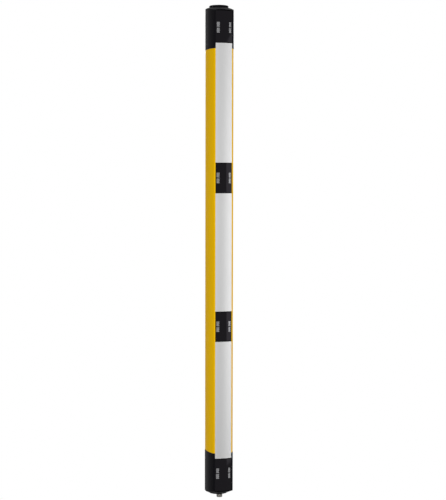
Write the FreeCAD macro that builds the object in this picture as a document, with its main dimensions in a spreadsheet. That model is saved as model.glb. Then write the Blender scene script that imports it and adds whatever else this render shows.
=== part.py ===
import FreeCAD, Part
import math
import os

import Sketcher
from FreeCAD import Rotation, Vector

# Multi-beam safety light curtain: one upright bar with four beams.
# Millimetres, +Z up. Z is the axis of the bosses that the swivel brackets take,
# and the origin is where the bottom boss leaves the flat end of its cap.
# The front, with the windows, faces -Y. Depths are counted from the plane of
# the front lips towards the back.

SIZES = [
    ("beamPitch", 300, "from one beam to the next"),
    ("profileWidth", 52, "housing, side to side"),
    ("profileDepth", 65, "housing, front lips to back"),
    ("axisSetback", 36, "front lips to the axis of the bosses"),
    ("sideStraight", 9, "straight stretch between the bowed side and the round back"),
    ("wall", 2.2, "wall of the extruded housing"),
    ("channelWidth", 34.4, "front channel that holds windows and strips"),
    ("channelDepth", 4, "front lips to the floor of that channel"),
    ("crown", 1.6, "how far windows and strips bow out of the channel"),
    ("lipFlat", 0.4, "flat edge of the lip beside the channel"),
    ("shoulderWidth", 2.8, "rounded shoulder, across"),
    ("shoulderDrop", 2.2, "rounded shoulder, front to back"),
    ("slotMouth", 8.4, "mouth of the groove for sliding nuts"),
    ("slotWidth", 15.2, "the same groove behind its lips"),
    ("slotLip", 2.6, "thickness of the groove's lips"),
    ("slotDepth", 8, "back of the housing to the groove's floor"),
    ("slotWall", 2, "wall round the groove"),
    ("windowLength", 61.6, "window and its place in the front"),
    ("windowRim", 1, "rim of a cap beyond its longer window"),
    ("endPlay", 0.1, "gap between a window and a strip or frame"),
    ("sidePlay", 0.1, "gap between a window or strip and the channel's side"),
    ("windowBevel", 1.4, "bevel at both ends of a window"),
    ("lightWidth", 28, "opening for the light, across"),
    ("lightHeight", 50, "opening for the light, upright"),
    ("lightCorner", 4, "corner radius of that opening"),
    ("padThickness", 0.6, "sealing frame behind a window"),
    ("stripThickness", 1.8, "wall of a cover strip"),
    ("capProud", 0.5, "how far a cap stands proud of the housing"),
    ("skirtReach", 40.8, "end beam to the open edge of the cap"),
    ("topMargin", 36, "top beam to the top cap's front edge"),
    ("bottomMargin", 38.2, "bottom beam to the bottom cap's front edge"),
    ("bevelDrop", 5.4, "cap's front edge to its flat end"),
    ("bevelSlope", 0.44, "slope of the conical bevel round the flat end"),
    ("plateauRadius", 25.4, "radius of the flat end"),
    ("bossRadius", 19.6, "boss that a swivel bracket takes"),
    ("topBoss", 5.8, "height of the top boss"),
    ("bottomBoss", 3.6, "height of the bottom boss"),
    ("bossChamfer", 0.8, "chamfer on the boss"),
    ("cavityDrop", 1.5, "cap's front edge to the end of its cavity"),
    ("capSeal", 0.8, "seal between cap and housing"),
    ("tongueWidth", 18, "tongue by which a cap is screwed on"),
    ("tongueDepth", 7, "thickness of the tongue"),
    ("tongueLength", 24, "how far the tongue enters the housing"),
    ("tongueGap", 0.05, "play between tongue and groove wall"),
    ("cheekLength", 10, "how far the two side cheeks enter the housing"),
    ("cheekThickness", 3, "thickness of a cheek"),
    ("cheekWidth", 6, "width of a cheek, front to back"),
    ("cheekGap", 0.45, "play between a cheek and the housing"),
    ("webHeight", 6, "root of tongue and cheeks inside the cap"),
    ("screwRadius", 2, "cap screw"),
    ("screwHeadRadius", 3.7, "its head"),
    ("screwHeadHeight", 2.4, "its head"),
    ("screwPitch", 10, "between the two screws of a cap"),
    ("screwInset", 7, "end of the housing to the first screw"),
    ("screwPlay", 0.1, "play of a cap screw in the groove's floor"),
    ("railSetback", 31.5, "back of the housing to the face of the inner rail"),
    ("railThickness", 2.2, "inner rail"),
    ("railPlay", 0.15, "play of the rail between its ribs"),
    ("railSidePlay", 0.25, "play between the rail's edge and the wall"),
    ("railOverrun", 17.3, "end beam to the end of the rail"),
    ("ribThickness", 1.8, "ribs that guide the rail"),
    ("ribReach", 3, "how far those ribs stand in"),
    ("lensRadius", 11, "lens"),
    ("lensEdge", 2, "thickness of the lens at its edge"),
    ("lensBulge", 3, "height of its dome"),
    ("lensSeat", 13, "front lips to the seat of the lens"),
    ("lensPlay", 0.05, "play round the lens"),
    ("tubeWidth", 28, "square outside of the optics tube"),
    ("tubeFront", 6.8, "front lips to the front of the optics tube"),
    ("tubeFoot", 16, "outside of the tube where it meets its flange"),
    ("throatFront", 15, "square inside of the tube behind the lens"),
    ("throatBack", 10, "the same at the board"),
    ("flangeWidth", 30, "flange of the optics tube, and its board"),
    ("flangeHeight", 34, "the same, upright"),
    ("flangeThickness", 2, "flange"),
    ("boardThickness", 1.6, "every circuit board"),
    ("hookHeight", 5, "snap hook that holds a tube, upright"),
    ("hookWidth", 2.4, "the same, across"),
    ("hookSide", 12.5, "beam to the middle of a snap hook"),
    ("hookBite", 0.5, "how far a hook grips behind the rail"),
    ("hookEnd", 1.2, "thickness of its grip"),
    ("hookPlay", 0.1, "play of hooks and posts in their slots"),
    ("diodeWidth", 5, "light source or detector, square"),
    ("diodeBase", 1.2, "height of its body"),
    ("diodeLens", 3.2, "width of its lens"),
    ("diodeHeight", 2.2, "height over all"),
    ("controlWidth", 38, "control board"),
    ("controlLength", 420, "control board"),
    ("postWidth", 6, "post that holds the control board off the rail"),
    ("postHeight", 5, "the same, rail to board"),
    ("postPeg", 3, "its square pegs through rail and board"),
    ("postSide", 15, "post to the middle line"),
    ("postInset", 15, "end of the control board to its first post"),
    ("postGrip", 0.6, "how far its head grips over the board"),
    ("postHead", 1.2, "thickness of that head"),
    ("ribbonWidth", 12, "flat cable on the rail"),
    ("ribbonThickness", 0.8, "flat cable on the rail"),
    ("ribbonPlay", 0.3, "end of the cable's bend to the rail"),
    ("plugInset", 38.8, "back of the housing to the axis of the connector"),
    ("plugRadius", 6, "thread of the connector, M12"),
    ("plugReach", 7.4, "face of the boss to the connector's mouth"),
    ("plugNeck", 5.5, "shell where it passes through the cap"),
    ("plugBore", 4.6, "inside of the connector's shell"),
    ("plugLead", 0.4, "chamfer at the connector's mouth"),
    ("plugTail", 1, "shell above its nut"),
    ("plugPlay", 0.05, "play round the shell's neck"),
    ("carrierTail", 1, "contact carrier above its shell"),
    ("socketDepth", 6, "mouth to the face of the contact carrier"),
    ("nutRadius", 8.6, "nut on the connector, over its corners"),
    ("nutHeight", 3, "nut on the connector"),
    ("keyWidth", 1.2, "key inside the connector"),
    ("keyHeight", 0.9, "how far the key stands in"),
    ("keyInset", 1, "mouth to the start of the key"),
    ("pinRadius", 0.5, "contact pin"),
    ("pinLength", 5, "contact pin"),
    ("pinCircle", 2.75, "radius of the ring of pins"),
]

BEAMS = ["top", "upper", "lower", "bottom"]
RING_PINS = 4

# Lengths that follow from the driving ones, as expressions on the sheet
halfWidth = "sizes.profileWidth / 2"
innerHalf = "(sizes.profileWidth / 2 - sizes.wall)"
backCentre = "(sizes.profileDepth - sizes.profileWidth / 2)"
channelHalf = "sizes.channelWidth / 2"
lipEnd = "(sizes.channelWidth / 2 + sizes.lipFlat)"
shoulderEnd = "(sizes.channelWidth / 2 + sizes.lipFlat + sizes.shoulderWidth)"
cavityFront = "(sizes.channelDepth + sizes.wall)"
cavityFrontHalf = "(sizes.channelWidth / 2 + sizes.wall)"
slotFloor = "(sizes.profileDepth - sizes.slotDepth)"
slotBack = "(sizes.profileDepth - sizes.slotDepth - sizes.slotWall)"
slotBlockHalf = "(sizes.slotWidth / 2 + sizes.slotWall)"
sideTangent = "(sizes.profileDepth - sizes.profileWidth / 2 - sizes.sideStraight)"
bottomEnd = "(sizes.bottomMargin + sizes.bevelDrop)"
housingReach = "(sizes.skirtReach + sizes.capSeal)"
housingLength = f"(3 * sizes.beamPitch - 2 * {housingReach})"
railFace = "(sizes.profileDepth - sizes.railSetback)"
railBack = f"({railFace} + sizes.railThickness)"
boardFront = f"({railFace} - sizes.boardThickness)"
controlFront = f"({railBack} + sizes.postHeight)"
controlBack = f"({controlFront} + sizes.boardThickness)"
plugSetback = "(sizes.profileDepth - sizes.plugInset)"
plugFloor = "(sizes.bevelDrop + sizes.cavityDrop)"
plugMouth = "-(sizes.bottomBoss + sizes.plugReach)"
carrierFace = f"({plugMouth} + sizes.socketDepth)"
plugTop = f"({plugFloor} + sizes.nutHeight + sizes.plugTail)"

doc = FreeCAD.newDocument("lightCurtain")
sheet = doc.addObject("Spreadsheet::Sheet", "sizes")
parts = []


def fillSheet():
    for row, (alias, size, note) in enumerate(SIZES, start=1):
        sheet.set(f"A{row}", str(size))
        sheet.setAlias(f"A{row}", alias)
        sheet.set(f"B{row}", note)
    doc.recompute()


def beamHeight(index):
    # height of a beam above the origin; beam 0 is the lowest
    return f"({bottomEnd} + {index} * sizes.beamPitch)"


def y(depth):
    return f"({depth} - sizes.axisSetback)"


def arcRadius(half, rise):
    # radius of the arc over a half chord with that rise
    return f"((({half})^2 + ({rise})^2) / (2 * ({rise})))"


def minus(text):
    return f"-({text})"


def number(owner, text):
    return float(owner.evalExpression(text))


# ---- sketches ----

def sketchOn(body, role, offset="0"):
    sketch = body.newObject("Sketcher::SketchObject", "outline")
    plane = [item for item in body.Origin.OriginFeatures if item.Role == role][0]
    sketch.AttachmentSupport = [(plane, "")]
    sketch.MapMode = "FlatFace"
    sketch.setExpression("AttachmentOffset.Base.z", offset)
    return sketch


def bind(sketch, constraint, text):
    index = sketch.addConstraint(constraint)
    name = f"size{index}"
    sketch.renameConstraint(index, name)
    sketch.setExpression(f"Constraints.{name}", text)


def pinPoint(sketch, edge, end, x, yText):
    # holds one point of an edge at the place that the two expressions give
    if x == "0":
        sketch.addConstraint(Sketcher.Constraint("PointOnObject", edge, end, -2))
    else:
        bind(sketch, Sketcher.Constraint("DistanceX", edge, end, number(sketch, x)), x)
    if yText == "0":
        sketch.addConstraint(Sketcher.Constraint("PointOnObject", edge, end, -1))
    else:
        bind(sketch, Sketcher.Constraint("DistanceY", edge, end, number(sketch, yText)), yText)


def drawLoop(sketch, corners):
    # corners run anticlockwise: x, y and the radius of the edge to the next
    # one, empty for a straight edge and with a leading minus for a hollow arc
    spots = [Vector(number(sketch, cx), number(sketch, cy), 0) for cx, cy, radius in corners]
    edges = []
    for index, (cx, cy, radius) in enumerate(corners):
        start = spots[index]
        end = spots[(index + 1) % len(spots)]
        if not radius:
            edge = sketch.addGeometry(Part.LineSegment(start, end))
            edges.append((edge, 1, 2))
            continue
        hollow = radius.startswith("-")
        text = radius[1:] if hollow else radius
        size = number(sketch, text)
        chord = end - start
        left = Vector(-chord.y, chord.x, 0).normalize()
        rise = math.sqrt(max(size ** 2 - (chord.Length / 2) ** 2, 0))
        centre = (start + end) / 2 + left * (-rise if hollow else rise)
        first, last = (end, start) if hollow else (start, end)
        begin = math.atan2(first.y - centre.y, first.x - centre.x)
        finish = math.atan2(last.y - centre.y, last.x - centre.x)
        if finish < begin:
            finish += 2 * math.pi
        circle = Part.Circle(centre, Vector(0, 0, 1), size)
        edge = sketch.addGeometry(Part.ArcOfCircle(circle, begin, finish))
        bind(sketch, Sketcher.Constraint("Radius", edge, size), text)
        edges.append((edge, 2, 1) if hollow else (edge, 1, 2))
    for index, (edge, start, end) in enumerate(edges):
        following, followingStart, _ = edges[(index + 1) % len(edges)]
        joint = Sketcher.Constraint("Coincident", edge, end, following, followingStart)
        sketch.addConstraint(joint)
        pinPoint(sketch, edge, start, corners[index][0], corners[index][1])


def drawCircle(sketch, x, yText, radius):
    spot = Vector(number(sketch, x), number(sketch, yText), 0)
    circle = Part.Circle(spot, Vector(0, 0, 1), number(sketch, radius))
    edge = sketch.addGeometry(circle)
    bind(sketch, Sketcher.Constraint("Radius", edge, circle.Radius), radius)
    pinPoint(sketch, edge, 3, x, yText)


def drawBox(sketch, left, bottom, right, top):
    drawLoop(sketch, [(left, bottom, ""), (right, bottom, ""), (right, top, ""), (left, top, "")])


def drawSquare(sketch, width):
    half = f"{width} / 2"
    drawBox(sketch, minus(half), minus(half), half, half)


def drawRoundedBox(sketch, middle, halfAcross, halfUp, corner):
    # rounded rectangle about x = 0 and the height `middle`
    inner = f"({halfAcross} - {corner})"
    low = f"({middle} - ({halfUp}))"
    high = f"({middle} + ({halfUp}))"
    lowStart = f"({low} + {corner})"
    highStart = f"({high} - {corner})"
    drawLoop(sketch, [
        (minus(inner), low, ""), (inner, low, corner),
        (halfAcross, lowStart, ""), (halfAcross, highStart, corner),
        (inner, high, ""), (minus(inner), high, corner),
        (minus(halfAcross), highStart, ""), (minus(halfAcross), lowStart, corner),
    ])


def mirrored(half, front=""):
    # a loop from its right half, front to back; a last corner at x = 0 stays single
    if half[-1][0] == "0":
        side = half[:-1]
        back = [("0", half[-1][1], side[-1][2])]
    else:
        side = half
        back = []
    left = []
    for index in reversed(range(len(side))):
        radius = side[index - 1][2] if index > 0 else front
        left.append((minus(side[index][0]), side[index][1], radius))
    return side + back + left


# ---- features ----

def newBody(label, alone=True):
    # a body that isn't alone is written as one solid of a group
    body = doc.addObject("PartDesign::Body", label)
    body.Label = label
    if alone:
        parts.append(body)
    return body


def pad(body, sketch, length, reverse=False):
    feature = body.newObject("PartDesign::Pad", "pad")
    feature.Profile = sketch
    feature.setExpression("Length", length)
    feature.Reversed = reverse
    doc.recompute()
    return feature


def pocket(body, sketch, length, reverse=False):
    before = body.Shape.Volume
    feature = body.newObject("PartDesign::Pocket", "pocket")
    feature.Profile = sketch
    feature.setExpression("Length", length)
    feature.Reversed = reverse
    doc.recompute()
    if body.Shape.Volume >= before - 1e-6:
        raise RuntimeError(f"{body.Label}: a pocket takes nothing away")
    return feature


def turn(body, sketch, axis, cut=False):
    # a full revolution of the sketch about one of its own axes
    before = body.Shape.Volume if cut else 0
    kind = "PartDesign::Groove" if cut else "PartDesign::Revolution"
    feature = body.newObject(kind, "turned")
    feature.Profile = sketch
    feature.ReferenceAxis = (sketch, [axis])
    feature.Angle = 360
    doc.recompute()
    if cut and body.Shape.Volume >= before - 1e-6:
        raise RuntimeError(f"{body.Label}: a groove takes nothing away")
    return feature


def wedge(body, nearWidth, near, farWidth, far, cut=False):
    # square block or hole that tapers from one depth to another
    before = body.Shape.Volume
    kind = "PartDesign::SubtractiveWedge" if cut else "PartDesign::AdditiveWedge"
    feature = body.newObject(kind, "taper")
    for axis in ("X", "Z"):
        for name, width in ((f"{axis}", nearWidth), (f"{axis}2", farWidth)):
            feature.setExpression(f"{name}min", f"-{width} / 2")
            feature.setExpression(f"{name}max", f"{width} / 2")
    feature.setExpression("Ymin", y(near))
    feature.setExpression("Ymax", y(far))
    doc.recompute()
    change = body.Shape.Volume - before
    if (change >= 0) if cut else (change <= 0):
        raise RuntimeError(f"{body.Label}: a taper changes nothing")
    return feature


def chamfer(body, base, edgeTest, size):
    names = [f"Edge{index}" for index, edge in enumerate(base.Shape.Edges, start=1) if edgeTest(edge)]
    feature = body.newObject("PartDesign::Chamfer", "chamfer")
    feature.Base = (base, names)
    feature.setExpression("Size", size)
    doc.recompute()
    return feature


def flatAt(height):
    # tells whether an edge lies at that height
    def test(edge):
        box = edge.BoundBox
        return abs(box.ZMin - height) < 1e-4 and abs(box.ZMax - height) < 1e-4
    return test


def place(item, height="0", depth="", turned=False):
    if turned:
        item.Placement = FreeCAD.Placement(Vector(0, 0, 0), Rotation(Vector(0, 1, 0), 180))
    item.setExpression("Placement.Base.z", height)
    if depth:
        item.setExpression("Placement.Base.y", y(depth))


# ---- sections shared by housing, caps and seals ----

def sideRadius(fromHalf, toHalf, fromDepth):
    # arc that ends upright at the depth where the side turns straight
    return arcRadius(f"{sideTangent} - {fromDepth}", f"{toHalf} - {fromHalf}")


def outerSide(proud="0"):
    # right side of the outside, lip to straight side
    edge = f"({shoulderEnd} + {proud})"
    half = f"({halfWidth} + {proud})"
    shoulder = arcRadius(f"sizes.shoulderWidth + {proud}", "sizes.shoulderDrop")
    return [
        (lipEnd, y("0"), shoulder),
        (edge, y("sizes.shoulderDrop"), sideRadius(edge, half, "sizes.shoulderDrop")),
        (half, y(sideTangent), ""),
        (half, y(backCentre), half),
    ]


def channelNotch():
    return [(channelHalf, y("sizes.channelDepth"), ""), (channelHalf, y("0"), "")]


def innerSide():
    # right side of the inside, front corner to straight side
    radius = sideRadius(cavityFrontHalf, innerHalf, cavityFront)
    return [
        (cavityFrontHalf, y(cavityFront), radius),
        (innerHalf, y(sideTangent), ""),
    ]


def plainCavity():
    back = ("0", y("sizes.profileDepth - sizes.wall"), "")
    return mirrored(innerSide() + [(innerHalf, y(backCentre), innerHalf), back])


# ---- the pieces ----

def makeHousing():
    body = newBody("housing_profile")
    sketch = sketchOn(body, "XY_Plane")
    mouth = "sizes.slotMouth / 2"
    slotHalf = "sizes.slotWidth / 2"
    lipDepth = "sizes.profileDepth - sizes.slotLip"
    outside = channelNotch() + outerSide() + [
        (mouth, y(f"({backCentre} + sqrt(({halfWidth})^2 - ({mouth})^2))"), ""),
        (mouth, y(lipDepth), ""),
        (slotHalf, y(lipDepth), ""),
        (slotHalf, y(slotFloor), ""),
    ]
    drawLoop(sketch, mirrored(outside))
    ribTip = f"({innerHalf} - sizes.ribReach)"
    ribFaces = [
        f"{railFace} - sizes.railPlay - sizes.ribThickness",
        f"{railFace} - sizes.railPlay",
        f"{railBack} + sizes.railPlay",
        f"{railBack} + sizes.railPlay + sizes.ribThickness",
    ]
    inside = innerSide()
    for near, far in (ribFaces[:2], ribFaces[2:]):
        inside += [(innerHalf, y(near), ""), (ribTip, y(near), "")]
        inside += [(ribTip, y(far), ""), (innerHalf, y(far), "")]
    inside += [
        (innerHalf, y(backCentre), innerHalf),
        (slotBlockHalf, y(f"({backCentre} + sqrt({innerHalf}^2 - {slotBlockHalf}^2))"), ""),
        (slotBlockHalf, y(slotBack), ""),
    ]
    drawLoop(sketch, mirrored(inside))
    pad(body, sketch, housingLength)

    # milled opening for the light of the two middle beams
    opening = sketchOn(body, "XZ_Plane", "sizes.axisSetback")
    middle = f"(sizes.beamPitch - {housingReach})"
    halfHeight = "sizes.lightHeight / 2"
    drawRoundedBox(opening, middle, "sizes.lightWidth / 2", halfHeight, "sizes.lightCorner")
    cut = pocket(body, opening, f"({cavityFront} + sizes.wall)")
    repeat = body.newObject("PartDesign::LinearPattern", "secondOpening")
    repeat.Originals = [cut]
    repeat.Direction = (opening, ["V_Axis"])
    repeat.setExpression("Length", "sizes.beamPitch")
    repeat.Occurrences = 2
    body.Tip = repeat
    doc.recompute()

    # holes for the cap screws, in the floor of the groove
    holes = sketchOn(body, "XZ_Plane", minus(y(slotFloor)))
    for fromEnd in ("sizes.screwInset", "(sizes.screwInset + sizes.screwPitch)"):
        for height in (fromEnd, f"({housingLength} - {fromEnd})"):
            drawCircle(holes, "0", height, "(sizes.screwRadius + sizes.screwPlay)")
    pocket(body, holes, "(sizes.slotWall + 0.5)", reverse=True)
    place(body, f"({beamHeight(0)} + {housingReach})")


def makeCap(label, beam, margin, bossHeight, turned, plugHole):
    # drawn about its beam with the closed end up; the bottom one is turned over
    body = newBody(label)
    end = f"({margin} + sizes.bevelDrop)"
    bossFace = f"({end} + {bossHeight})"
    innerEnd = f"({margin} - sizes.cavityDrop)"
    sketch = sketchOn(body, "XY_Plane", "-sizes.skirtReach")
    crownArc = arcRadius(channelHalf, "sizes.crown")
    back = ("0", y("sizes.profileDepth + sizes.capProud"), "")
    outside = [(channelHalf, y("0"), "")] + outerSide("sizes.capProud") + [back]
    drawLoop(sketch, mirrored(outside, front=crownArc))
    pad(body, sketch, f"(sizes.skirtReach + {end})")

    # conical bevel that runs out into the flat round end
    cone = sketchOn(body, "XZ_Plane")
    outer = "(sizes.plateauRadius + sizes.profileWidth)"
    coneFoot = f"({end} - sizes.bevelSlope * sizes.profileWidth)"
    drawLoop(cone, [
        ("sizes.plateauRadius", end, ""),
        (outer, coneFoot, ""),
        (outer, f"({end} + 1)", ""),
        ("sizes.plateauRadius", f"({end} + 1)", ""),
    ])
    turn(body, cone, "V_Axis", cut=True)

    ring = sketchOn(body, "XY_Plane", end)
    drawCircle(ring, "0", "0", "sizes.bossRadius")
    boss = pad(body, ring, bossHeight)
    chamfer(body, boss, flatAt(number(boss, bossFace)), "sizes.bossChamfer")

    cavity = sketchOn(body, "XY_Plane", "-sizes.skirtReach")
    drawLoop(cavity, plainCavity())
    pocket(body, cavity, f"(sizes.skirtReach + {innerEnd})", reverse=True)

    # place for the window and the end of the strip, then the light's opening
    recess = sketchOn(body, "XZ_Plane", minus(y("sizes.channelDepth")))
    drawBox(recess, minus(channelHalf), "-sizes.skirtReach - 1", channelHalf, f"({margin} - sizes.windowRim)")
    pocket(body, recess, "sizes.channelDepth + sizes.crown + 1", reverse=True)
    opening = sketchOn(body, "XZ_Plane", "sizes.axisSetback")
    halfHeight = "sizes.lightHeight / 2"
    drawRoundedBox(opening, "0", "sizes.lightWidth / 2", halfHeight, "sizes.lightCorner")
    pocket(body, opening, f"({cavityFront} + sizes.wall)")

    # tongue with its root on the cap's back wall, and two side cheeks
    tongueBack = f"({slotBack} - sizes.tongueGap)"
    tongueFront = f"({tongueBack} - sizes.tongueDepth)"
    half = "sizes.tongueWidth / 2"
    root = sketchOn(body, "XY_Plane", "-sizes.skirtReach")
    rootBack = y("(sizes.profileDepth - sizes.wall / 2)")
    drawBox(root, minus(half), y(tongueFront), half, rootBack)
    pad(body, root, "sizes.webHeight")
    tongue = sketchOn(body, "XY_Plane", f"-({housingReach} + sizes.tongueLength)")
    drawBox(tongue, minus(half), y(tongueFront), half, y(tongueBack))
    pad(body, tongue, f"(sizes.tongueLength + sizes.capSeal + sizes.webHeight)")
    cheekOut = f"({innerHalf} - sizes.cheekGap)"
    cheekIn = f"({cheekOut} - sizes.cheekThickness)"
    cheekBack = y(sideTangent)
    cheekFront = y(f"{sideTangent} - sizes.cheekWidth")
    for foot, height, reach in (
        ("-sizes.skirtReach", "sizes.webHeight", f"({innerHalf} + sizes.wall / 2)"),
        (f"-({housingReach} + sizes.cheekLength)",
         "(sizes.cheekLength + sizes.capSeal + sizes.webHeight)", cheekOut),
    ):
        cheeks = sketchOn(body, "XY_Plane", foot)
        drawBox(cheeks, cheekIn, cheekFront, reach, cheekBack)
        drawBox(cheeks, minus(reach), cheekFront, minus(cheekIn), cheekBack)
        pad(body, cheeks, height)

    taps = sketchOn(body, "XZ_Plane", minus(y(tongueBack)))
    for fromEnd in ("sizes.screwInset", "(sizes.screwInset + sizes.screwPitch)"):
        drawCircle(taps, "0", f"-({housingReach} + {fromEnd})", "(sizes.screwRadius + sizes.tongueGap)")
    pocket(body, taps, "sizes.tongueDepth + 0.5", reverse=True)

    if plugHole:
        hole = sketchOn(body, "XY_Plane", f"({bossFace} + 1)")
        drawCircle(hole, "0", y(plugSetback), "(sizes.plugNeck + sizes.plugPlay)")
        pocket(body, hole, f"({bossFace} + 2 - {innerEnd})")
    place(body, beamHeight(beam), turned=turned)


def makeCapSeal(beam, turned):
    body = newBody("cap_seal", alone=False)
    sketch = sketchOn(body, "XY_Plane", f"-{housingReach}")
    back = ("0", y("sizes.profileDepth"), "")
    drawLoop(sketch, mirrored(channelNotch() + outerSide() + [back]))
    drawLoop(sketch, plainCavity())
    pad(body, sketch, "sizes.capSeal")
    place(body, beamHeight(beam), turned=turned)
    return body


def frontFit():
    # half width and crown radius of what lies in the front channel
    half = f"({channelHalf} - sizes.sidePlay)"
    return half, arcRadius(half, "sizes.crown")


def makeWindow(label, beam, reach, turned=False):
    # reach is how far its end away from the strip lies from the beam
    body = newBody(label)
    half, crownArc = frontFit()
    near = "(sizes.windowLength / 2 - sizes.endPlay)"
    far = f"({reach} - sizes.endPlay)"
    sketch = sketchOn(body, "XY_Plane", minus(near))
    seat = y("sizes.channelDepth - sizes.padThickness")
    drawLoop(sketch, mirrored([(half, y("0"), ""), (half, seat, "")], front=crownArc))
    slab = pad(body, sketch, f"({near} + {far})")
    ends = (-number(slab, near), number(slab, far))

    def crownEdge(edge):
        box = edge.BoundBox
        flat = box.ZLength < 1e-4 and min(abs(box.ZMin - height) for height in ends) < 1e-4
        return flat and edge.Curve.TypeId == "Part::GeomCircle"

    chamfer(body, slab, crownEdge, "sizes.windowBevel")
    place(body, beamHeight(beam), turned=turned)


def makeWindowSeal(beam, reach, turned=False):
    body = newBody("window_seal", alone=False)
    sketch = sketchOn(body, "XZ_Plane", minus(y("sizes.channelDepth")))
    half, _ = frontFit()
    drawBox(sketch, minus(half), "-(sizes.windowLength / 2 - sizes.endPlay)", half, f"({reach} - sizes.endPlay)")
    across = "sizes.lightWidth / 2"
    drawBox(sketch, minus(across), "-sizes.lightHeight / 2", across, "sizes.lightHeight / 2")
    pad(body, sketch, "sizes.padThickness")
    place(body, beamHeight(beam), turned=turned)
    return body


def makeStrip(label, lowerBeam):
    # a bowed cover with two legs that stand on the floor of the channel
    body = newBody(label)
    half, crownArc = frontFit()
    legHalf = f"({half} - sizes.stripThickness)"
    innerArc = f"({crownArc} - sizes.stripThickness)"
    roof = f"({crownArc} - sizes.crown - sqrt({innerArc}^2 - {legHalf}^2))"
    sketch = sketchOn(body, "XY_Plane")
    floor = y("sizes.channelDepth")
    corners = [
        (minus(half), y("0"), crownArc),
        (half, y("0"), ""),
        (half, floor, ""),
        (legHalf, floor, ""),
        (legHalf, y(roof), "-" + innerArc),
        (minus(legHalf), y(roof), ""),
        (minus(legHalf), floor, ""),
        (minus(half), floor, ""),
    ]
    drawLoop(sketch, corners)
    pad(body, sketch, "(sizes.beamPitch - sizes.windowLength)")
    place(body, f"({beamHeight(lowerBeam)} + sizes.windowLength / 2)")


def makeLens(beam):
    # plano-convex, dome to the front, turned about the beam
    body = newBody("lens", alone=False)
    sketch = sketchOn(body, "YZ_Plane")
    seat = y("sizes.lensSeat")
    rim = y("sizes.lensSeat - sizes.lensEdge")
    apex = y("sizes.lensSeat - sizes.lensEdge - sizes.lensBulge")
    dome = arcRadius("sizes.lensRadius", "sizes.lensBulge")
    drawLoop(sketch, [
        (apex, "0", ""),
        (seat, "0", ""),
        (seat, "sizes.lensRadius", ""),
        (rim, "sizes.lensRadius", dome),
    ])
    turn(body, sketch, "H_Axis")
    place(body, beamHeight(beam))
    return body


def makeTube(label, beam):
    # square funnel that carries the lens and hooks through its board into the rail
    body = newBody(label)
    foot = minus(y(boardFront))
    flangeFront = f"({boardFront} - sizes.flangeThickness)"
    head = sketchOn(body, "XZ_Plane", minus(y("sizes.lensSeat")))
    drawSquare(head, "sizes.tubeWidth")
    pad(body, head, "(sizes.lensSeat - sizes.tubeFront)")
    wedge(body, "sizes.tubeWidth", "sizes.lensSeat", "sizes.tubeFoot", flangeFront)
    flange = sketchOn(body, "XZ_Plane", foot)
    drawPlate(flange)
    pad(body, flange, "sizes.flangeThickness")
    bore = sketchOn(body, "XZ_Plane", minus(y("sizes.tubeFront")))
    drawCircle(bore, "0", "0", "(sizes.lensRadius + sizes.lensPlay)")
    pocket(body, bore, "(sizes.lensSeat - sizes.tubeFront)")
    wedge(body, "sizes.throatFront", "sizes.lensSeat", "sizes.throatBack", boardFront, cut=True)
    hooks = sketchOn(body, "XZ_Plane", foot)
    drawHooks(hooks, "0", "0")
    pad(body, hooks, "(sizes.boardThickness + sizes.railThickness)", reverse=True)
    grips = sketchOn(body, "XZ_Plane", minus(y(railBack)))
    drawHooks(grips, "0", "0", "sizes.hookBite")
    pad(body, grips, "sizes.hookEnd", reverse=True)
    place(body, beamHeight(beam))


def drawPlate(sketch):
    wide = "sizes.flangeWidth / 2"
    high = "sizes.flangeHeight / 2"
    drawBox(sketch, minus(wide), minus(high), wide, high)


def drawHooks(sketch, height, play, bite="0"):
    # the two hooks of a tube, or their slots; a bite widens them away from the beam
    low = f"({height} - sizes.hookHeight / 2 - {play})"
    high = f"({height} + sizes.hookHeight / 2 + {play})"
    near = f"(sizes.hookSide - sizes.hookWidth / 2 - {play})"
    far = f"(sizes.hookSide + sizes.hookWidth / 2 + {play} + {bite})"
    drawBox(sketch, near, low, far, high)
    drawBox(sketch, minus(far), low, minus(near), high)


def makeBeamBoard(label, beam):
    body = newBody(label)
    sketch = sketchOn(body, "XZ_Plane", minus(y(railFace)))
    drawPlate(sketch)
    drawHooks(sketch, "0", "sizes.hookPlay")
    pad(body, sketch, "sizes.boardThickness")
    place(body, beamHeight(beam))


def makeDiode(label, beam):
    body = newBody(label)
    base = sketchOn(body, "XZ_Plane", minus(y(boardFront)))
    drawSquare(base, "sizes.diodeWidth")
    pad(body, base, "sizes.diodeBase")
    dome = sketchOn(body, "XZ_Plane", minus(y(boardFront)))
    drawSquare(dome, "sizes.diodeLens")
    pad(body, dome, "sizes.diodeHeight")
    place(body, beamHeight(beam))


def postPlaces():
    # side and height over the board's middle of each post of the control board
    for side in ("sizes.postSide", "-sizes.postSide"):
        for step in (-1, 0, 1):
            yield side, f"{step} * (sizes.controlLength / 2 - sizes.postInset)"


def drawPosts(sketch, rise):
    half = "(sizes.postPeg / 2 + sizes.hookPlay)"
    for side, step in postPlaces():
        low = f"({rise} + {step} - {half})"
        high = f"({rise} + {step} + {half})"
        drawBox(sketch, f"({side} - {half})", low, f"({side} + {half})", high)


def makeRail():
    # plate that slides between the ribs and carries all the electronics
    body = newBody("inner_rail")
    sketch = sketchOn(body, "XZ_Plane", minus(y(railBack)))
    half = f"({innerHalf} - sizes.railSidePlay)"
    low = "-sizes.railOverrun"
    high = "(3 * sizes.beamPitch + sizes.railOverrun)"
    drawBox(sketch, minus(half), low, half, high)
    for beam in range(4):
        drawHooks(sketch, f"{beam} * sizes.beamPitch", "sizes.hookPlay")
    drawPosts(sketch, "1.5 * sizes.beamPitch")
    pad(body, sketch, "sizes.railThickness")
    place(body, beamHeight(0))


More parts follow.
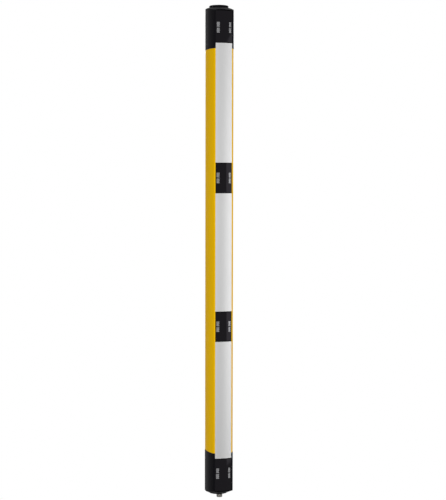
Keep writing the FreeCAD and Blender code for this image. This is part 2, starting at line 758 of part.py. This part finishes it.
def makeControlBoard():
    # board with its converter, relays and plug headers on the back
    body = newBody("control_board")
    sketch = sketchOn(body, "XZ_Plane", minus(y(controlBack)))
    half = "sizes.controlWidth / 2"
    reach = "sizes.controlLength / 2"
    drawBox(sketch, minus(half), minus(reach), half, reach)
    drawPosts(sketch, "0")
    pad(body, sketch, "sizes.boardThickness")
    # left, bottom, width and height of each part as shares of the board, and its height
    chips = [
        (-0.36, -0.40, 0.40, 0.085, 9), (-0.32, -0.27, 0.64, 0.10, 6),
        (-0.30, -0.10, 0.24, 0.06, 3), (0.06, -0.10, 0.24, 0.06, 3),
        (-0.22, 0.08, 0.44, 0.045, 2), (-0.34, 0.20, 0.28, 0.08, 8),
        (0.06, 0.20, 0.28, 0.08, 8), (-0.30, 0.36, 0.60, 0.035, 7),
    ]
    for left, bottom, width, height, rise in chips:
        chip = sketchOn(body, "XZ_Plane", minus(y(controlBack)))
        drawBox(chip, f"{left} * sizes.controlWidth", f"{bottom} * sizes.controlLength",
                f"{left + width} * sizes.controlWidth", f"{bottom + height} * sizes.controlLength")
        pad(body, chip, str(rise), reverse=True)
    place(body, beamHeight(1.5))


def block(width, depth, side, near, height):
    # a square block that starts at the depth `near` and runs `depth` to the back
    item = doc.addObject("Part::Box", "block")
    item.setExpression("Length", width)
    item.setExpression("Width", depth)
    item.setExpression("Height", width)
    item.setExpression("Placement.Base.x", f"{side} - {width} / 2")
    item.setExpression("Placement.Base.y", y(near))
    item.setExpression("Placement.Base.z", f"{height} - {width} / 2")
    return item


def makePosts():
    # pegs through rail and board, a shoulder between them and a head behind
    posts = []
    for side, step in postPlaces():
        height = f"({beamHeight(1.5)} + {step})"
        reach = "(sizes.railThickness + sizes.postHeight + sizes.boardThickness)"
        post = doc.addObject("Part::MultiFuse", "post")
        post.Shapes = [
            block("sizes.postPeg", reach, side, railFace, height),
            block("sizes.postWidth", "sizes.postHeight", side, railBack, height),
            block("(sizes.postPeg + 2 * sizes.postGrip)", "sizes.postHead", side, controlBack, height),
        ]
        posts.append(post)
    group("board_posts", posts)


def makeRibbon():
    # flat cable: up from the contact carrier, an S bend, then along the rail's back
    body = newBody("flat_cable")
    sketch = sketchOn(body, "YZ_Plane", "-sizes.ribbonWidth / 2")
    run = y(railBack)
    rise = y(plugSetback)
    bend = f"(({run} + sizes.ribbonThickness / 2 - {rise}) / 2)"
    tight = f"({bend} - sizes.ribbonThickness / 2)"
    wide = f"({bend} + sizes.ribbonThickness / 2)"
    near = f"({rise} - sizes.ribbonThickness / 2)"
    far = f"({rise} + sizes.ribbonThickness / 2)"
    foot = f"({plugTop} + sizes.carrierTail)"
    # the bend is over just before the cable reaches the rail
    bendTop = f"({beamHeight(0)} - sizes.railOverrun - sizes.ribbonPlay)"
    bendFoot = f"({bendTop} - 2 * {bend})"
    bendMiddle = f"({bendTop} - {bend})"
    end = f"({beamHeight(3)} + sizes.flangeHeight / 2)"
    drawLoop(sketch, [
        (near, foot, ""),
        (far, foot, ""),
        (far, bendFoot, "-" + tight),
        (f"({rise} + {bend})", f"({bendMiddle} - sizes.ribbonThickness / 2)", wide),
        (f"({run} + sizes.ribbonThickness)", bendTop, ""),
        (f"({run} + sizes.ribbonThickness)", end, ""),
        (run, end, ""),
        (run, bendTop, "-" + tight),
        (f"({rise} + {bend})", f"({bendMiddle} + sizes.ribbonThickness / 2)", wide),
        (near, bendFoot, ""),
    ])
    pad(body, sketch, "sizes.ribbonWidth")


def makeShell():
    # threaded end with a shoulder on the boss's face, and a neck through the cap
    body = newBody("connector_shell")
    sketch = sketchOn(body, "XY_Plane", plugMouth)
    drawCircle(sketch, "0", "0", "sizes.plugRadius")
    drawCircle(sketch, "0", "0", "sizes.plugBore")
    tube = pad(body, sketch, "sizes.plugReach")
    chamfer(body, tube, flatAt(number(tube, plugMouth)), "sizes.plugLead")
    neck = sketchOn(body, "XY_Plane", "-sizes.bottomBoss")
    drawCircle(neck, "0", "0", "sizes.plugNeck")
    drawCircle(neck, "0", "0", "sizes.plugBore")
    pad(body, neck, f"(sizes.bottomBoss + {plugTop})")
    place(body, depth=plugSetback)


def makeInsert():
    # contact carrier, with the key that turns the mating plug the right way
    body = newBody("contact_carrier")
    sketch = sketchOn(body, "XY_Plane", carrierFace)
    drawCircle(sketch, "0", "0", "sizes.plugBore")
    pad(body, sketch, f"({plugTop} + sizes.carrierTail - {carrierFace})")
    key = sketchOn(body, "XY_Plane", carrierFace)
    half = "sizes.keyWidth / 2"
    root = f"sqrt(sizes.plugBore^2 - ({half})^2)"
    drawBox(key, minus(half), minus(root), half, "(sizes.keyHeight - sizes.plugBore)")
    pad(body, key, "(sizes.socketDepth - sizes.keyInset)", reverse=True)
    place(body, depth=plugSetback)


def makeNut():
    body = newBody("connector_nut")
    sketch = sketchOn(body, "XY_Plane", plugFloor)
    corners = []
    for step in range(6):
        angle = math.radians(60 * step)
        corners.append((f"{math.cos(angle):.12f} * sizes.nutRadius",
                        f"{math.sin(angle):.12f} * sizes.nutRadius", ""))
    drawLoop(sketch, corners)
    drawCircle(sketch, "0", "0", "(sizes.plugNeck + sizes.plugPlay)")
    pad(body, sketch, "sizes.nutHeight")
    place(body, depth=plugSetback)


def cylinder(radius, height, x, yText, z, alongY=0):
    # a plain cylinder; alongY is 1 or -1 when it points forward to +Y or to -Y
    item = doc.addObject("Part::Cylinder", "cylinder")
    item.setExpression("Radius", radius)
    item.setExpression("Height", height)
    if alongY:
        item.Placement = FreeCAD.Placement(Vector(0, 0, 0), Rotation(Vector(1, 0, 0), -90 * alongY))
    item.setExpression("Placement.Base.x", x)
    item.setExpression("Placement.Base.y", yText)
    item.setExpression("Placement.Base.z", z)
    return item


def group(label, items):
    # like pieces that share one node, as separate solids
    compound = doc.addObject("Part::Compound", label)
    compound.Links = items
    compound.Label = label
    parts.append(compound)
    return compound


def screw(x, headDepth, z, radius, length, headRadius, headHeight, alongY):
    # head on the face at headDepth, shank running along alongY from it
    face = y(headDepth)
    shank = cylinder(radius, length, x, face, z, alongY)
    head = cylinder(headRadius, headHeight, x, face, z, -alongY)
    whole = doc.addObject("Part::Fuse", "screw")
    whole.Base = shank
    whole.Tool = head
    return whole


def makeCapScrews():
    # through the floor of the groove into each cap's tongue
    length = "(sizes.slotWall + sizes.tongueGap + sizes.tongueDepth - 1)"
    screws = []
    for beam, sign in ((0, "+"), (3, "-")):
        for fromEnd in ("sizes.screwInset", "(sizes.screwInset + sizes.screwPitch)"):
            height = f"({beamHeight(beam)} {sign} ({housingReach} + {fromEnd}))"
            screws.append(screw("0", slotFloor, height, "sizes.screwRadius", length,
                                "sizes.screwHeadRadius", "sizes.screwHeadHeight", -1))
    group("cap_screws", screws)


def makePins():
    foot = f"({carrierFace} - sizes.pinLength)"
    centre = y(plugSetback)
    pins = [cylinder("sizes.pinRadius", "sizes.pinLength", "0", centre, foot)]
    for step in range(RING_PINS):
        angle = 2 * math.pi * (step + 0.5) / RING_PINS - math.pi / 2
        x = f"{math.cos(angle):.12f} * sizes.pinCircle"
        across = f"({centre} + {math.sin(angle):.12f} * sizes.pinCircle)"
        pins.append(cylinder("sizes.pinRadius", "sizes.pinLength", x, across, foot))
    group("contact_pins", pins)


def makeAll():
    makeHousing()
    makeCap("top_end_cap", 3, "sizes.topMargin", "sizes.topBoss", turned=False, plugHole=False)
    makeCap("bottom_end_cap", 0, "sizes.bottomMargin", "sizes.bottomBoss", turned=True, plugHole=True)
    group("cap_seals", [makeCapSeal(3, turned=False), makeCapSeal(0, turned=True)])
    makeCapScrews()
    reaches = [
        "(sizes.bottomMargin - sizes.windowRim)",
        "sizes.windowLength / 2",
        "sizes.windowLength / 2",
        "(sizes.topMargin - sizes.windowRim)",
    ]
    seals = []
    for beam, name in enumerate(reversed(BEAMS)):
        makeWindow(f"{name}_window", beam, reaches[beam], turned=(beam == 0))
        seals.append(makeWindowSeal(beam, reaches[beam], turned=(beam == 0)))
        makeTube(f"{name}_optics_tube", beam)
        makeBeamBoard(f"{name}_beam_board", beam)
        makeDiode(f"{name}_beam_diode", beam)
    group("window_seals", seals)
    group("lenses", [makeLens(beam) for beam in range(4)])
    for beam, name in enumerate(("lower", "middle", "upper")):
        makeStrip(f"{name}_cover_strip", beam)
    makeRail()
    makeControlBoard()
    makePosts()
    makeRibbon()
    makeShell()
    makeInsert()
    makePins()
    makeNut()


def writeParts():
    doc.recompute()
    for item in doc.Objects:
        if "Invalid" in item.State or "Error" in item.State:
            raise RuntimeError(f"{item.Label} ({item.Name}) failed: {item.State}")
    for item in parts:
        if item.Shape.isNull() or not item.Shape.isValid():
            raise RuntimeError(f"{item.Label} has no valid shape")
    os.makedirs("parts", exist_ok=True)
    for item in parts:
        item.Shape.exportStep(f"parts/{item.Label}.step")
        box = item.Shape.BoundBox
        print(f"{item.Label}: {len(item.Shape.Solids)} solids, {item.Shape.Volume:.0f} mm3, "
              f"z {box.ZMin:.1f} to {box.ZMax:.1f}")


fillSheet()
makeAll()
writeParts()
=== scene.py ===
import math

import bmesh
import bpy
from mathutils import Matrix, Quaternion, Vector


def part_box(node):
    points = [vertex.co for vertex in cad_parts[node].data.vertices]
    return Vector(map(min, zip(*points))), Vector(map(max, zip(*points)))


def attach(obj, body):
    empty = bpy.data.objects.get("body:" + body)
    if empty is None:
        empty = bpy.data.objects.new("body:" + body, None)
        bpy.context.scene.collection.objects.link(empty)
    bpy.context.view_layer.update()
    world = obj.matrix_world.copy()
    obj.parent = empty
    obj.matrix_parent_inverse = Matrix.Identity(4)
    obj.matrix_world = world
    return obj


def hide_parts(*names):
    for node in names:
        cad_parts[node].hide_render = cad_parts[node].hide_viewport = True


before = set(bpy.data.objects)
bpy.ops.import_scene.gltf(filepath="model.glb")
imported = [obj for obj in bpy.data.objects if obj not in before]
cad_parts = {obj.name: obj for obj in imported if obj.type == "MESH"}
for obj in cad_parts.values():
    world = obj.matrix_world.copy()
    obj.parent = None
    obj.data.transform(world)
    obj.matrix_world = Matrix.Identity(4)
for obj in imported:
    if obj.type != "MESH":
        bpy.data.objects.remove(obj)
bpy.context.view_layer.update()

# Metres, in the frame of the CAD. The windows face -Y and the bar stands along Z.
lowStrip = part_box("lower_cover_strip")
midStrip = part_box("middle_cover_strip")
beamPitch = midStrip[0][2] - lowStrip[0][2]
firstBeam = (lowStrip[0][2] + lowStrip[1][2]) / 2 - beamPitch / 2
middle = firstBeam + 1.5 * beamPitch
beams = ("top", "upper", "lower", "bottom")

noiseRange = (0.3, 0.7)   # nearly all of a noise lies between these
mixFrom, mixTo, mixResult = 6, 7, 2   # the colour sockets of a Mix node


def addNode(tree, kind, **settings):
    node = tree.nodes.new(kind)
    for key, value in settings.items():
        setattr(node, key, value)
    return node


def rangeNode(tree, source, low, high):
    # low and high are sockets
    node = addNode(tree, "ShaderNodeMapRange")
    node.inputs["From Min"].default_value, node.inputs["From Max"].default_value = noiseRange
    tree.links.new(source, node.inputs["Value"])
    tree.links.new(low, node.inputs["To Min"])
    tree.links.new(high, node.inputs["To Max"])
    return node.outputs[0]


def makeSurfaceGroup():
    group = bpy.data.node_groups.new("surface", "ShaderNodeTree")
    for name, kind in (("Color", "Color"), ("Shade", "Color"), ("Cloud", "Float"), ("Grain", "Float"),
                       ("Stretch", "Vector"), ("Smooth", "Float"), ("Rough", "Float")):
        group.interface.new_socket(name=name, in_out="INPUT", socket_type="NodeSocket" + kind)
    for name, kind in (("Color", "Color"), ("Roughness", "Float"), ("Height", "Float")):
        group.interface.new_socket(name=name, in_out="OUTPUT", socket_type="NodeSocket" + kind)
    given = addNode(group, "NodeGroupInput")
    result = addNode(group, "NodeGroupOutput")
    place = addNode(group, "ShaderNodeTexCoord")
    mapping = addNode(group, "ShaderNodeMapping")
    group.links.new(place.outputs["Object"], mapping.inputs["Vector"])
    group.links.new(given.outputs["Stretch"], mapping.inputs["Scale"])
    fields = []
    for name, detail in (("Cloud", 3), ("Grain", 2)):
        field = addNode(group, "ShaderNodeTexNoise")
        field.inputs["Detail"].default_value = detail
        group.links.new(mapping.outputs[0], field.inputs["Vector"])
        group.links.new(given.outputs[name], field.inputs["Scale"])
        fields.append(field.outputs["Fac"])
    mix = addNode(group, "ShaderNodeMix", data_type="RGBA")
    group.links.new(fields[0], mix.inputs[0])
    group.links.new(given.outputs["Shade"], mix.inputs[mixFrom])
    group.links.new(given.outputs["Color"], mix.inputs[mixTo])
    group.links.new(mix.outputs[mixResult], result.inputs["Color"])
    group.links.new(rangeNode(group, fields[1], given.outputs["Smooth"], given.outputs["Rough"]),
                    result.inputs["Roughness"])
    group.links.new(fields[1], result.inputs["Height"])
    return group


def surface(name, look, group):
    material = bpy.data.materials.new(name)
    material.use_nodes = True
    tree = material.node_tree
    shader = tree.nodes["Principled BSDF"]
    node = addNode(tree, "ShaderNodeGroup", node_tree=group)
    node.inputs["Color"].default_value = (*look["color"], 1)
    node.inputs["Shade"].default_value = (*look["shade"], 1)
    node.inputs["Cloud"].default_value = look["cloud"]
    node.inputs["Grain"].default_value = look["grain"]
    node.inputs["Stretch"].default_value = look.get("stretch", (1, 1, 1))
    node.inputs["Smooth"].default_value = look["rough"] - look["spread"]
    node.inputs["Rough"].default_value = look["rough"] + look["spread"]
    relief = addNode(tree, "ShaderNodeBump")
    relief.inputs["Strength"].default_value = look["strength"]
    relief.inputs["Distance"].default_value = look["depth"]
    tree.links.new(node.outputs["Color"], shader.inputs["Base Color"])
    tree.links.new(node.outputs["Roughness"], shader.inputs["Roughness"])
    tree.links.new(node.outputs["Height"], relief.inputs["Height"])
    tree.links.new(relief.outputs[0], shader.inputs["Normal"])
    for socket, value in look["inputs"].items():
        shader.inputs[socket].default_value = value
    return material


board = {
    "trace": (0.03, 0.20, 0.08),
    "pitch": 300,         # bricks per metre
    "line": 0.035,        # width of a trace, as a share of a brick
}


def addTraces(material, look):
    # copper lines that show through the board's mask
    tree = material.node_tree
    shader = tree.nodes["Principled BSDF"]
    colored = shader.inputs["Base Color"].links[0].from_socket
    place = addNode(tree, "ShaderNodeTexCoord")
    turned = addNode(tree, "ShaderNodeMapping")
    turned.inputs["Rotation"].default_value = (math.pi / 2, 0, 0)
    lines = addNode(tree, "ShaderNodeTexBrick")
    lines.inputs["Scale"].default_value = look["pitch"]
    lines.inputs["Mortar Size"].default_value = look["line"]
    mix = addNode(tree, "ShaderNodeMix", data_type="RGBA")
    mix.inputs[mixTo].default_value = (*look["trace"], 1)
    tree.links.new(place.outputs["Object"], turned.inputs["Vector"])
    tree.links.new(turned.outputs[0], lines.inputs["Vector"])
    tree.links.new(lines.outputs["Fac"], mix.inputs[0])
    tree.links.new(colored, mix.inputs[mixFrom])
    tree.links.new(mix.outputs[mixResult], shader.inputs["Base Color"])


def dress(names, material):
    for name in names:
        for slot in bpy.data.objects[name].material_slots:
            slot.material = material


def finishPiece(build, name, material, smooth=False):
    for face in build.faces:
        face.smooth = smooth
    mesh = bpy.data.meshes.new(name)
    build.to_mesh(mesh)
    build.free()
    mesh.materials.append(material)
    piece = bpy.data.objects.new(name, mesh)
    bpy.context.collection.objects.link(piece)
    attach(piece, "root")
    return piece


marks = {
    "crown": 0.0016,      # how far a window bows out
    "sides": ((-0.0119, 0.0060), (0.0127, 0.0044)),   # middle of a block's bars, and their width
    "blocks": (-0.0058, 0.0058),
    "bars": (1, 0.92, 1, 0.85, 1),
    "pitch": 0.00195,
    "height": 0.0011,
    "lift": 0.00003,      # front of the print over the window
    "ink": 0.00006,       # its thickness, half of it sunk into the window
    "steps": 6,           # faces across a bar, which follow the crown
}


def makeMarks(beam, look, material):
    # plain printed bars on both sides of a window, two blocks on each
    lowest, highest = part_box(f"{beam}_window")
    height = firstBeam + beamPitch * round(((lowest[2] + highest[2]) / 2 - firstBeam) / beamPitch)
    radius = (highest[0] ** 2 + look["crown"] ** 2) / (2 * look["crown"])
    build = bmesh.new()
    for centre, full in look["sides"]:
        for block in look["blocks"]:
            for index, share in enumerate(look["bars"]):
                width = share * full
                across = centre - (full - width) / 2
                up = height + block + ((len(look["bars"]) - 1) / 2 - index) * look["pitch"]
                spot = Matrix.Translation((across, 0, up)) @ Matrix.Rotation(math.pi / 2, 4, "X")
                spot = spot @ Matrix.Diagonal((width, look["height"], 1, 1))
                bmesh.ops.create_grid(build, x_segments=look["steps"], y_segments=1, size=0.5, matrix=spot)
    bmesh.ops.solidify(build, geom=build.faces[:], thickness=look["ink"])
    bmesh.ops.recalc_face_normals(build, faces=build.faces)
    front = min(vertex.co.y for vertex in build.verts)
    for vertex in build.verts:
        bow = radius - math.sqrt(radius ** 2 - vertex.co.x ** 2)
        vertex.co.y += lowest[1] + bow - look["lift"] - front
    finishPiece(build, f"{beam}_window_marks", material)


thread = {
    "pitch": 0.001,
    "depth": 0.00055,
    "bore": 0.0046,
    "neck": 0.0055,
    "lead": 0.0005,       # chamfer at the mouth
    "runOut": 0.0012,     # over which the thread ends below the boss
    "rows": 8,            # per turn
    "around": 72,
    "merge": 0.000001,    # points closer than this are one
}


def makeThreadedShell(look, material):
    # the connector's shell again, now with its thread; its rows follow one section round the axis
    lowest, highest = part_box("connector_shell")
    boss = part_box("bottom_end_cap")[0][2]
    crest = highest[0]
    axis = (lowest[1] + highest[1]) / 2
    mouth = lowest[2]
    section = [(look["bore"], highest[2], 0), (look["bore"], mouth, 0), (crest - look["lead"], mouth, 0)]
    first = mouth + look["lead"]
    count = round((boss - first) / look["pitch"] * look["rows"])
    for row in range(count + 1):
        height = first + (boss - first) * row / count
        share = min(1, (height - mouth) / look["pitch"], (boss - height) / look["runOut"])
        section.append((crest, height, share))
    section += [(look["neck"], boss, 0), (look["neck"], highest[2], 0), (look["bore"], highest[2], 0)]
    build = bmesh.new()
    bmesh.ops.create_grid(build, x_segments=look["around"], y_segments=len(section) - 1, size=0.5)
    for vertex in build.verts:
        turn = (vertex.co.x + 0.5) * math.tau
        radius, height, share = section[round((vertex.co.y + 0.5) * (len(section) - 1))]
        phase = (height / look["pitch"] - turn / math.tau) % 1
        radius -= share * look["depth"] * abs(2 * phase - 1)
        vertex.co = (radius * math.cos(turn), axis + radius * math.sin(turn), height)
    bmesh.ops.remove_doubles(build, verts=build.verts, dist=look["merge"])
    bmesh.ops.recalc_face_normals(build, faces=build.faces)
    shell = finishPiece(build, "threaded_shell", material)
    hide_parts("connector_shell")


lights = {
    "keyLeft": {
        "azimuth": -33, "distance": 1.7, "height": 0.6, "aim": 0.6, "size": (0.7, 1.2), "power": 12,
    },
    "softRight": {
        "azimuth": 39.5, "distance": 1.5, "height": 0.43, "aim": 0.43, "size": (0.84, 1.38), "power": 6,
        "roll": 4.5,      # degrees, so that its top edge slants in the windows
    },
    "overhead": {
        "azimuth": -8, "distance": 1.5, "height": 2.0, "aim": 0.5, "size": (1.4, 0.9), "power": 2,
    },
    "rearSoft": {
        "azimuth": 163, "distance": 1.9, "height": 1.15, "aim": 0.45, "size": (1.4, 0.5), "power": 10,
    },
}


def addLight(name, look):
    data = bpy.data.lights.new(name, "AREA")
    data.shape = "RECTANGLE"
    data.size, data.size_y = look["size"]
    data.energy = look["power"]
    light = bpy.data.objects.new(name, data)
    angle = math.radians(look["azimuth"])
    light.location = (look["distance"] * math.sin(angle), -look["distance"] * math.cos(angle), look["height"])
    aim = Vector((0, 0, look["aim"])) - light.location
    roll = Quaternion(-aim, math.radians(look.get("roll", 0)))
    light.rotation_euler = (roll @ aim.to_track_quat("-Z", "Y")).to_euler()
    light.visible_camera = False
    bpy.context.collection.objects.link(light)


camera = {
    "distance": 2.4649,
    "turn": 16.78,        # degrees to the left of straight ahead
    "above": 0.1358,      # over the middle of the bar
    "pitch": 0.0535,      # radians down
    "yaw": 0.0024,
    "roll": -0.0019,
    "lens": 87.3,
    "aimDepth": -0.011,   # y of the point that it turns about
}


def addCamera(look):
    data = bpy.data.cameras.new("camera")
    data.lens = look["lens"]
    viewer = bpy.data.objects.new("camera", data)
    turn = math.radians(look["turn"])
    viewer.location = (-look["distance"] * math.sin(turn),
                       look["aimDepth"] - look["distance"] * math.cos(turn),
                       middle + look["above"])
    viewer.rotation_euler = (math.pi / 2 - look["pitch"], look["roll"], -turn - look["yaw"])
    bpy.context.collection.objects.link(viewer)
    bpy.context.scene.camera = viewer


fill = {
    "front": 0.32,        # strength that dull surfaces see on the windows' side
    "behind": 0.26,       # and on the other
    "blend": (0.2, 0.8),  # y of the direction, over which one turns into the other
}


def addWorld(look):
    # white to the camera and in what metal and glass show; a dim fill for the rest
    world = bpy.data.worlds.new("studio")
    bpy.context.scene.world = world
    world.use_nodes = True
    tree = world.node_tree
    path = addNode(tree, "ShaderNodeLightPath")
    place = addNode(tree, "ShaderNodeTexCoord")
    parts = addNode(tree, "ShaderNodeSeparateXYZ")
    level = addNode(tree, "ShaderNodeMapRange")
    level.inputs["From Min"].default_value, level.inputs["From Max"].default_value = look["blend"]
    level.inputs["To Min"].default_value = look["front"]
    level.inputs["To Max"].default_value = look["behind"]
    tree.links.new(place.outputs["Generated"], parts.inputs[0])
    tree.links.new(parts.outputs["Y"], level.inputs["Value"])
    strength = level.outputs[0]
    for ray in ("Is Camera Ray", "Is Glossy Ray", "Is Transmission Ray"):
        bright = addNode(tree, "ShaderNodeMath", operation="MAXIMUM")
        tree.links.new(strength, bright.inputs[0])
        tree.links.new(path.outputs[ray], bright.inputs[1])
        strength = bright.outputs[0]
    backdrop = tree.nodes["Background"]
    backdrop.inputs["Color"].default_value = (1, 1, 1, 1)
    tree.links.new(strength, backdrop.inputs["Strength"])


ground = {
    "depth": 0.6,         # below the bar's origin
    "reach": 1.2,         # half a side
    "color": (0.8, 0.8, 0.79),
    "rough": 0.9,
}


def addFloor(look):
    mesh = bpy.data.meshes.new("floor")
    build = bmesh.new()
    bmesh.ops.create_grid(build, x_segments=2, y_segments=2, size=look["reach"],
                          matrix=Matrix.Translation((0, 0, -look["depth"])))
    build.to_mesh(mesh)
    build.free()
    floor = bpy.data.objects.new("floor", mesh)
    bpy.context.collection.objects.link(floor)
    material = bpy.data.materials.new("paleFloor")
    material.use_nodes = True
    tree = material.node_tree
    shader = tree.nodes["Principled BSDF"]
    shader.inputs["Base Color"].default_value = (*look["color"], 1)
    shader.inputs["Roughness"].default_value = look["rough"]
    mesh.materials.append(material)


# A look is a colour that drifts to its shade, a cloud and a grain (noise scales per metre),
# a roughness with its spread, and the grain's strength and depth. Inputs go to the shader.
finishes = {
    "yellowCoat": {
        "nodes": ["housing_profile"],
        "color": (0.95, 0.55, 0.0), "shade": (0.92, 0.525, 0.0), "cloud": 9, "grain": 700,
        "rough": 0.56, "spread": 0.05, "strength": 0.35, "depth": 0.0003,
        "inputs": {"Specular IOR Level": 0.05},
    },
    "blackCap": {
        "nodes": ["top_end_cap", "bottom_end_cap"],
        "color": (0.0070, 0.0064, 0.0082), "shade": (0.0048, 0.0044, 0.0058), "cloud": 25, "grain": 1500,
        "rough": 0.44, "spread": 0.06, "strength": 0.15, "depth": 0.0002,
        "inputs": {"Specular IOR Level": 0.02},
    },
    "darkWindow": {
        "nodes": [f"{beam}_window" for beam in beams],
        "color": (0.0015, 0.0013, 0.0016), "shade": (0.0012, 0.0010, 0.0013), "cloud": 20, "grain": 60,
        "rough": 0.05, "spread": 0.015, "strength": 0.01, "depth": 0.0001,
        "inputs": {"IOR": 1.49, "Specular IOR Level": 0.15, "Specular Tint": (0.93, 0.86, 1.0, 1)},
    },
    "satinStrip": {
        "nodes": [f"{name}_cover_strip" for name in ("upper", "middle", "lower")],
        "color": (0.46, 0.46, 0.46), "shade": (0.43, 0.43, 0.43), "cloud": 60, "grain": 2600,
        "stretch": (1, 1, 0.015), "rough": 0.44, "spread": 0.04, "strength": 0.15, "depth": 0.0001,
        "inputs": {"Metallic": 1},
    },
    "softSeal": {
        "nodes": ["cap_seals", "window_seals"],
        "color": (0.018, 0.018, 0.018), "shade": (0.012, 0.012, 0.012), "cloud": 60, "grain": 1200,
        "rough": 0.75, "spread": 0.08, "strength": 0.2, "depth": 0.0002,
        "inputs": {"Specular IOR Level": 0.3},
    },
    "zincScrew": {
        "nodes": ["cap_screws"],
        "color": (0.60, 0.61, 0.62), "shade": (0.48, 0.49, 0.50), "cloud": 200, "grain": 1500,
        "rough": 0.32, "spread": 0.08, "strength": 0.1, "depth": 0.0001,
        "inputs": {"Metallic": 1},
    },
    "opticsBlack": {
        "nodes": [f"{beam}_optics_tube" for beam in beams],
        "color": (0.016, 0.016, 0.017), "shade": (0.010, 0.010, 0.011), "cloud": 60, "grain": 900,
        "rough": 0.7, "spread": 0.08, "strength": 0.25, "depth": 0.0002,
        "inputs": {},
    },
    "clearLens": {
        "nodes": ["lenses"],
        "color": (0.93, 0.95, 0.97), "shade": (0.88, 0.91, 0.95), "cloud": 40, "grain": 80,
        "rough": 0.04, "spread": 0.02, "strength": 0.02, "depth": 0.0001,
        "inputs": {"Transmission Weight": 1, "IOR": 1.49},
    },
    "tintedDiode": {
        "nodes": [f"{beam}_beam_diode" for beam in beams],
        "color": (0.10, 0.08, 0.14), "shade": (0.06, 0.05, 0.09), "cloud": 300, "grain": 900,
        "rough": 0.12, "spread": 0.04, "strength": 0.05, "depth": 0.0001,
        "inputs": {"Coat Weight": 0.6},
    },
    "millRail": {
        "nodes": ["inner_rail"],
        "color": (0.74, 0.74, 0.73), "shade": (0.62, 0.62, 0.62), "cloud": 20, "grain": 700,
        "stretch": (1, 1, 0.02), "rough": 0.36, "spread": 0.1, "strength": 0.2, "depth": 0.0001,
        "inputs": {"Metallic": 1},
    },
    "nylonPost": {
        "nodes": ["board_posts"],
        "color": (0.82, 0.80, 0.73), "shade": (0.74, 0.72, 0.64), "cloud": 120, "grain": 900,
        "rough": 0.45, "spread": 0.06, "strength": 0.1, "depth": 0.0001,
        "inputs": {"Subsurface Weight": 0.1},
    },
    "flatCable": {
        "nodes": ["flat_cable"],
        "color": (0.46, 0.47, 0.49), "shade": (0.26, 0.27, 0.29), "cloud": 30, "grain": 1100,
        "stretch": (1, 0.02, 0.004), "rough": 0.5, "spread": 0.08, "strength": 0.5, "depth": 0.0003,
        "inputs": {},
    },
    "contactCarrier": {
        "nodes": ["contact_carrier"],
        "color": (0.022, 0.022, 0.023), "shade": (0.014, 0.014, 0.015), "cloud": 150, "grain": 1500,
        "rough": 0.5, "spread": 0.06, "strength": 0.12, "depth": 0.0001,
        "inputs": {},
    },
    "goldPin": {
        "nodes": ["contact_pins"],
        "color": (0.95, 0.70, 0.30), "shade": (0.85, 0.60, 0.24), "cloud": 300, "grain": 1500,
        "rough": 0.2, "spread": 0.06, "strength": 0.05, "depth": 0.0001,
        "inputs": {"Metallic": 1},
    },
    "nickel": {
        "nodes": ["connector_nut"],
        "color": (0.40, 0.39, 0.37), "shade": (0.30, 0.29, 0.27), "cloud": 250, "grain": 1500,
        "rough": 0.27, "spread": 0.08, "strength": 0.06, "depth": 0.0001,
        "inputs": {"Metallic": 1},
    },
    "circuitBoard": {
        "nodes": [f"{beam}_beam_board" for beam in beams] + ["control_board"],
        "color": (0.012, 0.10, 0.035), "shade": (0.008, 0.075, 0.026), "cloud": 80, "grain": 900,
        "rough": 0.32, "spread": 0.08, "strength": 0.1, "depth": 0.0001,
        "inputs": {"Coat Weight": 0.3},
    },
    "markPrint": {
        "nodes": [],
        "color": (0.34, 0.34, 0.35), "shade": (0.28, 0.28, 0.29), "cloud": 500, "grain": 2500,
        "rough": 0.4, "spread": 0.05, "strength": 0.1, "depth": 0.0001,
        "inputs": {"Metallic": 0.6, "Coat Weight": 1, "Coat Roughness": 0.05},
    },
}

surfaceGroup = makeSurfaceGroup()
materials = {name: surface(name, look, surfaceGroup) for name, look in finishes.items()}
addTraces(materials["circuitBoard"], board)
for name, look in finishes.items():
    dress(look["nodes"], materials[name])
print("materials done")
for beam in beams:
    makeMarks(beam, marks, materials["markPrint"])
makeThreadedShell(thread, materials["nickel"])
print("marks and thread done")
for name, look in lights.items():
    addLight(name, look)
addCamera(camera)
addWorld(fill)
addFloor(ground)
bpy.context.scene.view_settings.view_transform = "Standard"
print("camera and lights done")
